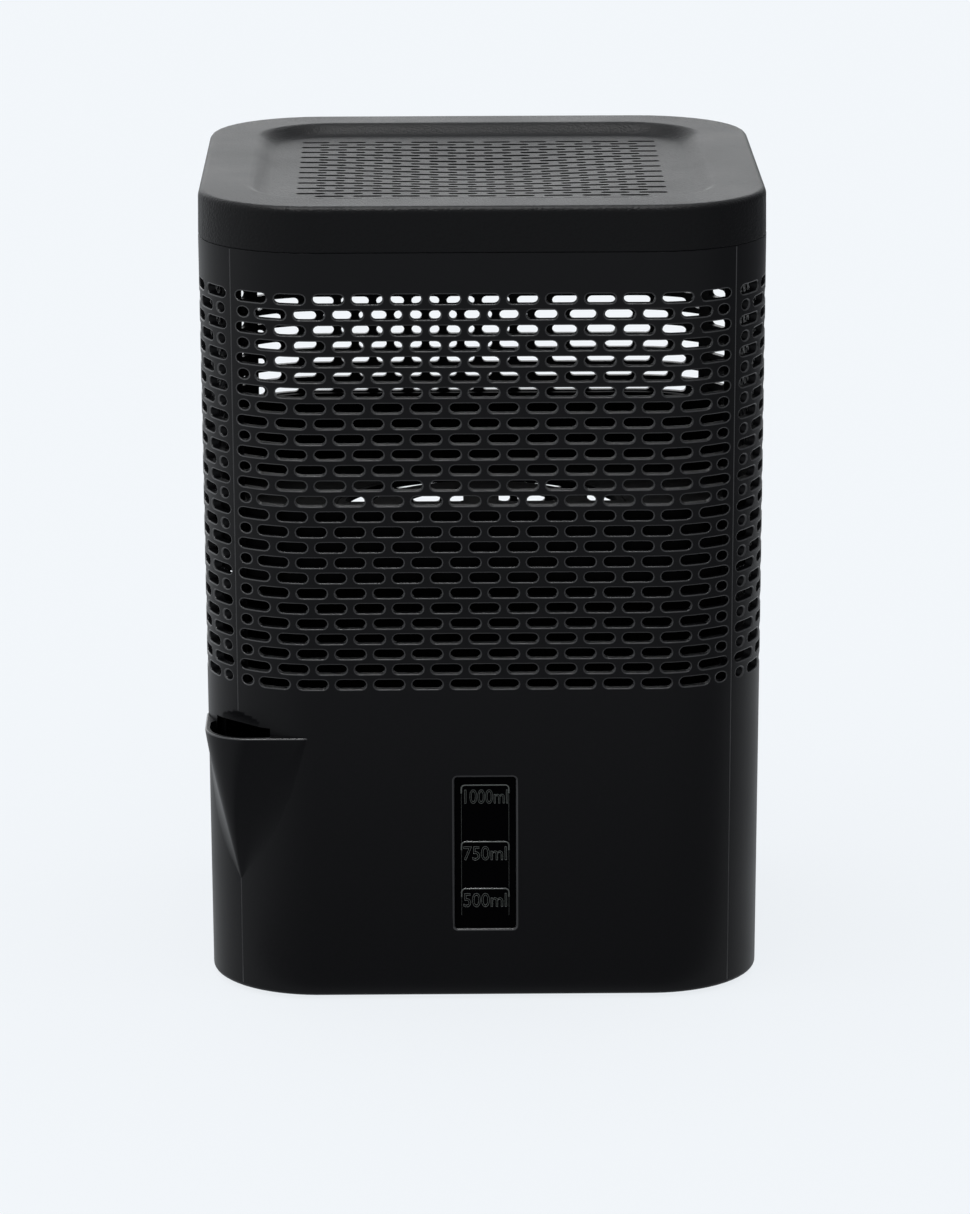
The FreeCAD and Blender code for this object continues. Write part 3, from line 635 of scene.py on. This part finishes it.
def floor_place(x, y, depth):
    step = 0.5
    slope_x = (floor_height(x + step, y) - floor_height(x - step, y)) / (2 * step)
    slope_y = (floor_height(x, y + step) - floor_height(x, y - step)) / (2 * step)
    return np.array((x, y, floor_height(x, y) - depth)), np.array((-slope_x, -slope_y, 1.0))


def floor_direction(away):
    return np.array((away[0], away[1], 0.0))


def lid_field(sheet):
    """The slotted floor of the dish."""
    surface = (floor_place, floor_direction)
    for row in range(LID_ROWS):
        middle = (row - LID_ROWS // 2) * ROW_PITCH
        low, high = middle - ROW_PITCH / 2, middle + ROW_PITCH / 2
        shift = 0 if row % 2 == 0 else 2
        cells = range(-LID_LAST + shift, LID_LAST - shift, 4)
        for first in cells:
            xs = [index * GRID_STEP for index in range(first, first + 5)]
            border = [(x, low) for x in xs] + [(x, high) for x in reversed(xs)]
            hole_cell(sheet, surface, border, (xs[2], middle),
                      lambda grow: slot_loop((xs[2], middle), LID_SLOT[0], LID_SLOT[1], grow, parts=2),
                      LID_SLOT_EDGE, LID_FLOOR)
        for side in (-1, 1) if shift else ():
            xs = sorted(side * index * GRID_STEP for index in range(LID_LAST - 2, LID_LAST + 1))
            for depth, facing in ((0, 1), (LID_FLOOR, -1)):
                lines = []
                for y in (low, high):
                    pairs = [floor_place(x, y, depth) for x in xs]
                    lines.append(sheet.ring([(point, facing * normal) for point, normal in pairs]))
                sheet.bridge(lines[0], lines[1], closed=False)


def make_lid():
    """The lid: its slotted floor, then rings from the spigot out, over the top and into the dish."""
    sheet = Sheet()
    lid_field(sheet)
    ends = LID_ROWS * ROW_PITCH / 2
    wide = LID_LAST * GRID_STEP
    xs = [index * GRID_STEP for index in range(-LID_LAST, LID_LAST + 1)]
    ys = [-ends + ROW_PITCH * number for number in range(LID_ROWS + 1)]
    border = ([(wide, y) for y in ys[:-1]] + [(x, ends) for x in xs[:0:-1]]
              + [(-wide, y) for y in ys[:0:-1]] + [(x, -ends) for x in xs[:-1]])
    border_turns = turns_about(border, (0, 0), (1, 1))

    # half the width, height and the normal's turn, from the spigot's inside out and over the top
    outside = [(SPIGOT[0], SPIGOT_ROOM_TOP, 180), (SPIGOT[0], SPIGOT_FOOT, 180),
               (SPIGOT[0], SPIGOT_FOOT, 270), (SPIGOT[1], SPIGOT_FOOT, 270),
               (SPIGOT[1], SPIGOT_FOOT, 360), (SPIGOT[1], RIM_Z, 360),
               (SPIGOT[1], RIM_Z, 270), (RIM_HALF - 0.3, RIM_Z, 270), (RIM_HALF - 0.12, RIM_Z + 0.08, 315),
               (RIM_HALF, RIM_Z + 0.3, 360), (LID_WALL_HALF, LID_TOP - LID_ROUND, 360)]
    for turn in (18, 36, 54, 72, 90):
        angle = math.radians(turn)
        outside.append((LID_WALL_HALF - LID_ROUND * (1 - math.cos(angle)),
                        LID_TOP - LID_ROUND * (1 - math.sin(angle)), turn))
    profile = [(half, half - STRAIGHT, z, turn) for half, z, turn in outside]
    for part in range(13):
        step = part / 12
        slope = 6 * step * (1 - step) * (LID_TOP - DISH_RIM_FLOOR) / DISH_WALL
        profile.append((DISH_HALF - DISH_WALL * step, DISH_RADIUS - DISH_WALL * step,
                        LID_TOP - (LID_TOP - DISH_RIM_FLOOR) * (3 * step ** 2 - 2 * step ** 3),
                        90 + math.degrees(math.atan(slope))))
    rings = []
    for half, radius, z, turn in profile:
        angle = math.radians(turn)
        rings.append(sheet.ring([(np.array((point[0], point[1], z)),
                                  math.cos(angle) * np.array((away[0], away[1], 0.0))
                                  + np.array((0.0, 0.0, math.sin(angle))))
                                 for point, away in square_loop(half, radius)]))
    for first, second in zip(rings, rings[1:]):
        sheet.bridge(first, second)
    last = [point for point, away in square_loop(DISH_HALF - DISH_WALL, DISH_RADIUS - DISH_WALL)]
    last_turns = turns_about(last, (0, 0), (1, 1))
    shift_turns(border_turns, last_turns)
    sheet.stitch(rings[-1], sheet.ring([floor_place(x, y, 0) for x, y in border]), last_turns, border_turns)
    under = sheet.ring([(np.array((point[0], point[1], DISH_RIM_FLOOR - LID_FLOOR)), np.array((0, 0, -1.0)))
                        for point in last])
    wall_top = [sheet.add(sheet.points[index], np.array((0, 0, -1.0))) for index in rings[0]]
    sheet.bridge(wall_top, under)
    inner = sheet.ring([(point, -normal) for point, normal in
                        (floor_place(x, y, LID_FLOOR) for x, y in border)])
    sheet.stitch(under, inner, last_turns, border_turns)
    return sheet.build("lid_moulding")


def shift_turns(moving, fixed):
    """Bring one loop's turns to within half a turn of another's."""
    while moving[0] < fixed[0] - math.pi:
        moving[:] = [turn + 2 * math.pi for turn in moving]
    while moving[0] > fixed[0] + math.pi:
        moving[:] = [turn - 2 * math.pi for turn in moving]


# ---------------------------------------------------------------- marks on the window

LEVELS = (("1000ml", 57.5), ("750ml", 42.3), ("500ml", 29.7))
MARK_HALF = 6.1
MARK_BEND = 0.9
MARK_DROP = 2.2
RAIL_ENDS = (55.0, 22.5)
WORDS_SIZE = 5.2
WORDS_DROP = 4.9


def window_spot(x, z, proud):
    """A point on the face of the window plate, in metres."""
    return Vector((x, -half_at(z) + WINDOW_SINK - proud, z)) * MM


def raised_line(name, points, thickness, proud=0.0):
    """A thin rod along points on the plate, its axis a given distance in front of it."""
    curve = bpy.data.curves.new(name, "CURVE")
    curve.dimensions = "3D"
    curve.bevel_depth = thickness * MM
    curve.bevel_resolution = 3
    line = curve.splines.new("POLY")
    line.points.add(len(points) - 1)
    for spot, (x, z) in zip(line.points, points):
        spot.co = (*window_spot(x, z, proud), 1)
    thing = bpy.data.objects.new(name, curve)
    bpy.context.scene.collection.objects.link(thing)
    return thing


def raised_words(words, z):
    """The outline of the words, raised from the plate."""
    curve = bpy.data.curves.new(words, "FONT")
    curve.body = words
    curve.size = WORDS_SIZE * MM
    curve.align_x = "CENTER"
    curve.fill_mode = "NONE"
    curve.bevel_depth = 0.07 * MM
    thing = bpy.data.objects.new(words, curve)
    thing.location = window_spot(0, z, 0.05)
    thing.rotation_euler = (math.pi / 2, 0, 0)
    bpy.context.scene.collection.objects.link(thing)
    bpy.context.view_layer.update()
    thing.scale.x = min(1.0, (2 * MARK_HALF - 1.0) * MM / thing.dimensions.x)
    return thing


def make_marks():
    """A bar with bent ends at each level, its number under it, and a fine rail down each side."""
    pieces = []
    for words, z in LEVELS:
        bend = [(MARK_HALF - MARK_BEND * (1 - math.sin(math.radians(turn))),
                 z - MARK_BEND * (1 - math.cos(math.radians(turn)))) for turn in (90, 67, 45, 22, 0)]
        right = [(MARK_HALF, z - MARK_DROP)] + bend
        left = [(-x, height) for x, height in reversed(right)]
        pieces.append(raised_line("bar_" + words, right + left, thickness=0.2, proud=0.16))
        pieces.append(raised_words(words, z - WORDS_DROP))
    for side in (-1, 1):
        rail = [(side * MARK_HALF, end) for end in RAIL_ENDS]
        pieces.append(raised_line("rail_%s" % ("left" if side < 0 else "right"), rail, thickness=0.04))
    return pieces


# ---------------------------------------------------------------- materials

RELIEF_DEPTH = 0.0002
PATCH_SCALE = 45
GLOSS_SPREAD = 0.05


def shade(name, colour, rough, grain, bump, specular):
    """A moulded plastic or rubber: fine grain in the surface, with patches of wear in its gloss."""
    material = bpy.data.materials.new(name)
    material.use_nodes = True
    nodes, links = material.node_tree.nodes, material.node_tree.links
    shader = nodes["Principled BSDF"]
    shader.inputs["Base Color"].default_value = (*colour, 1)
    shader.inputs["Specular IOR Level"].default_value = specular
    place = nodes.new("ShaderNodeTexCoord")
    fine = nodes.new("ShaderNodeTexNoise")
    fine.inputs["Scale"].default_value = grain
    fine.inputs["Detail"].default_value = 3
    links.new(place.outputs["Object"], fine.inputs["Vector"])
    relief = nodes.new("ShaderNodeBump")
    relief.inputs["Strength"].default_value = bump
    relief.inputs["Distance"].default_value = RELIEF_DEPTH
    links.new(fine.outputs["Fac"], relief.inputs["Height"])
    links.new(relief.outputs["Normal"], shader.inputs["Normal"])
    patches = nodes.new("ShaderNodeTexNoise")
    patches.inputs["Scale"].default_value = PATCH_SCALE
    patches.inputs["Detail"].default_value = 5
    links.new(place.outputs["Object"], patches.inputs["Vector"])
    gloss = nodes.new("ShaderNodeMapRange")
    gloss.inputs["To Min"].default_value = rough - GLOSS_SPREAD
    gloss.inputs["To Max"].default_value = rough + GLOSS_SPREAD
    links.new(patches.outputs["Fac"], gloss.inputs["Value"])
    links.new(gloss.outputs["Result"], shader.inputs["Roughness"])
    return material


def dress(thing, *materials):
    """Give a piece its material, and a second one, a lighter colour painted on as a highlight, for the
    rounded rims of its slots.
    """
    slots = thing.data.materials
    if len(slots) == 0:
        for material in materials:
            slots.append(material)
    else:
        slots[0] = materials[0]


# ---------------------------------------------------------------- the object

# colour, roughness, how fine the grain is, how strong it is, and the strength of the gloss
shell_plastic = shade("shell_plastic", (0.0040, 0.0040, 0.0046), 0.42, 2600, 0.14, 0.10)
lid_plastic = shade("lid_plastic", (0.0040, 0.0040, 0.0044), 0.45, 1500, 1.0, 0.085)
tray_plastic = shade("tray_plastic", (0.0015, 0.0015, 0.0017), 0.6, 2200, 0.12, 0.02)
# a lighter colour painted on the rounded rims, the seams and the beak's lip as their highlight
painted_rim_highlight = shade("painted_rim_highlight", (0.026, 0.026, 0.027), 0.35, 2600, 0.1, 0.35)
window_plastic = shade("window_plastic", (0.0008, 0.0008, 0.0010), 0.12, 300, 0.01, 0.01)
# a lighter colour painted on the raised marks as the highlight on their edges
painted_mark_highlight = shade("painted_mark_highlight", (0.05, 0.055, 0.05), 0.25, 600, 0.03, 0.7)
seal_rubber = shade("seal_rubber", (0.012, 0.012, 0.012), 0.75, 1800, 0.4, 0.3)
foot_rubber = shade("foot_rubber", (0.012, 0.012, 0.012), 0.8, 1600, 0.4, 0.3)

for piece in make_walls() + [make_beak()]:
    dress(piece, shell_plastic, painted_rim_highlight)
    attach(piece, "base")
    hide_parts("tank_body")

# the window's marks take a lighter colour, painted on as the highlights of their raised edges
for piece in make_marks():
    dress(piece, painted_mark_highlight)
    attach(piece, "base")

lid_piece = make_lid()
dress(lid_piece, lid_plastic, lid_plastic)
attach(lid_piece, "lid")
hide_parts("lid")

NODE_LOOKS = {"drip_tray": tray_plastic, "drip_grate": tray_plastic, "level_window": window_plastic,
              "window_seal": seal_rubber}
for node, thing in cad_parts.items():
    if node in NODE_LOOKS:
        dress(thing, NODE_LOOKS[node])
    elif node.startswith("foot_"):
        dress(thing, foot_rubber)


# ---------------------------------------------------------------- the room

def soft_light(name, place, aim, width, height, power):
    lamp = bpy.data.lights.new(name, "AREA")
    lamp.shape = "RECTANGLE"
    lamp.size, lamp.size_y = width, height
    lamp.energy = power
    thing = bpy.data.objects.new(name, lamp)
    thing.location = place
    thing.rotation_euler = (Vector(aim) - Vector(place)).to_track_quat("-Z", "Y").to_euler()
    bpy.context.scene.collection.objects.link(thing)
    return thing


def flat_sheet(name, *corners):
    return mesh_object(name, corners, [(0, 1, 2, 3)])


def paint(name, colour, rough):
    """A plain matt material and its shader."""
    material = bpy.data.materials.new(name)
    material.use_nodes = True
    shader = material.node_tree.nodes["Principled BSDF"]
    shader.inputs["Base Color"].default_value = (*colour, 1)
    shader.inputs["Roughness"].default_value = rough
    return material, shader


PALE = (0.880, 0.913, 0.947)
FLOOR_HALF = 9000
ROOM_LEAN = (-0.25, 0.18, 0.45)
ROOM_LEVEL = 0.82

# Most of the floor's brightness is its own glow, so that the shadows on it stay faint.
FLOOR_GLOW = 0.89
floor = flat_sheet("floor", (-FLOOR_HALF, -FLOOR_HALF, 0), (FLOOR_HALF, -FLOOR_HALF, 0),
                   (FLOOR_HALF, FLOOR_HALF, 0), (-FLOOR_HALF, FLOOR_HALF, 0))
floor_paint, floor_shader = paint("floor", (1 - FLOOR_GLOW, 1 - FLOOR_GLOW, 1 - FLOOR_GLOW), 1.0)
floor_shader.inputs["Specular IOR Level"].default_value = 0.0
floor_shader.inputs["Emission Color"].default_value = (*PALE, 1)
floor_shader.inputs["Emission Strength"].default_value = FLOOR_GLOW
dress(floor, floor_paint)

# The room: bright behind and on the left, dimmer on the right and in front.
world = bpy.data.worlds.new("room")
world.use_nodes = True
bpy.context.scene.world = world
nodes, links = world.node_tree.nodes, world.node_tree.links
background = nodes["Background"]
background.inputs["Color"].default_value = (*PALE, 1)
direction = nodes.new("ShaderNodeTexCoord")
lean = nodes.new("ShaderNodeVectorMath")
lean.operation = "DOT_PRODUCT"
lean.inputs[1].default_value = ROOM_LEAN
strength = nodes.new("ShaderNodeMath")
strength.inputs[1].default_value = ROOM_LEVEL
links.new(direction.outputs["Generated"], lean.inputs[0])
links.new(lean.outputs["Value"], strength.inputs[0])
links.new(strength.outputs["Value"], background.inputs["Strength"])

soft_light("left", (-1.6, -0.4, 0.5), (0, 0, 0.1), 0.8, 1.2, 3)
above = soft_light("above", (-0.1, -0.1, 1.4), (0, 0, 0.1), 0.5, 0.5, 28)
behind = soft_light("behind", (-0.12, 1.7, 0.62), (0, 0, 0.2), 1.3, 0.75, 5.4)
# these two show in the plastic's gloss only
for lamp in (above, behind):
    lamp.visible_camera = lamp.visible_diffuse = False

# A grey card on the right and a grey mat in front, that show in reflections only and dim those sides.
card = flat_sheet("grey_card", (430, -250, 0), (430, 1000, 0), (430, 1000, 500), (430, -250, 500))
mat = flat_sheet("grey_mat", (-95, -74, 2), (700, -74, 2), (700, -340, 2), (-150, -340, 2))
card_paint, _ = paint("grey_card", (0.16, 0.16, 0.17), 0.9)
for screen in (card, mat):
    dress(screen, card_paint)
    screen.visible_camera = screen.visible_diffuse = screen.visible_shadow = False

# The camera as fitted to the photo, in metres, with its roll in degrees.
CAMERA_PLACE = (-0.01479, -1.42758, 0.44692)
CAMERA_BACK = (-0.010650, -0.969553, 0.244650)
CAMERA_ROLL = -0.1613
LENS = 204.2
camera = bpy.data.objects.new("camera", bpy.data.cameras.new("camera"))
bpy.context.scene.collection.objects.link(camera)
camera.data.sensor_fit = "HORIZONTAL"
camera.data.sensor_width = 36
camera.data.lens = LENS
camera.data.clip_end = 20
camera.location = CAMERA_PLACE
back = Vector(CAMERA_BACK).normalized()
level = Vector((0, 0, 1)).cross(back).normalized()
roll = math.radians(CAMERA_ROLL)
right = math.cos(roll) * level + math.sin(roll) * back.cross(level)
camera.rotation_euler = Matrix((right, back.cross(right), back)).transposed().to_euler()
bpy.context.scene.camera = camera
bpy.context.scene.view_settings.view_transform = "Standard"
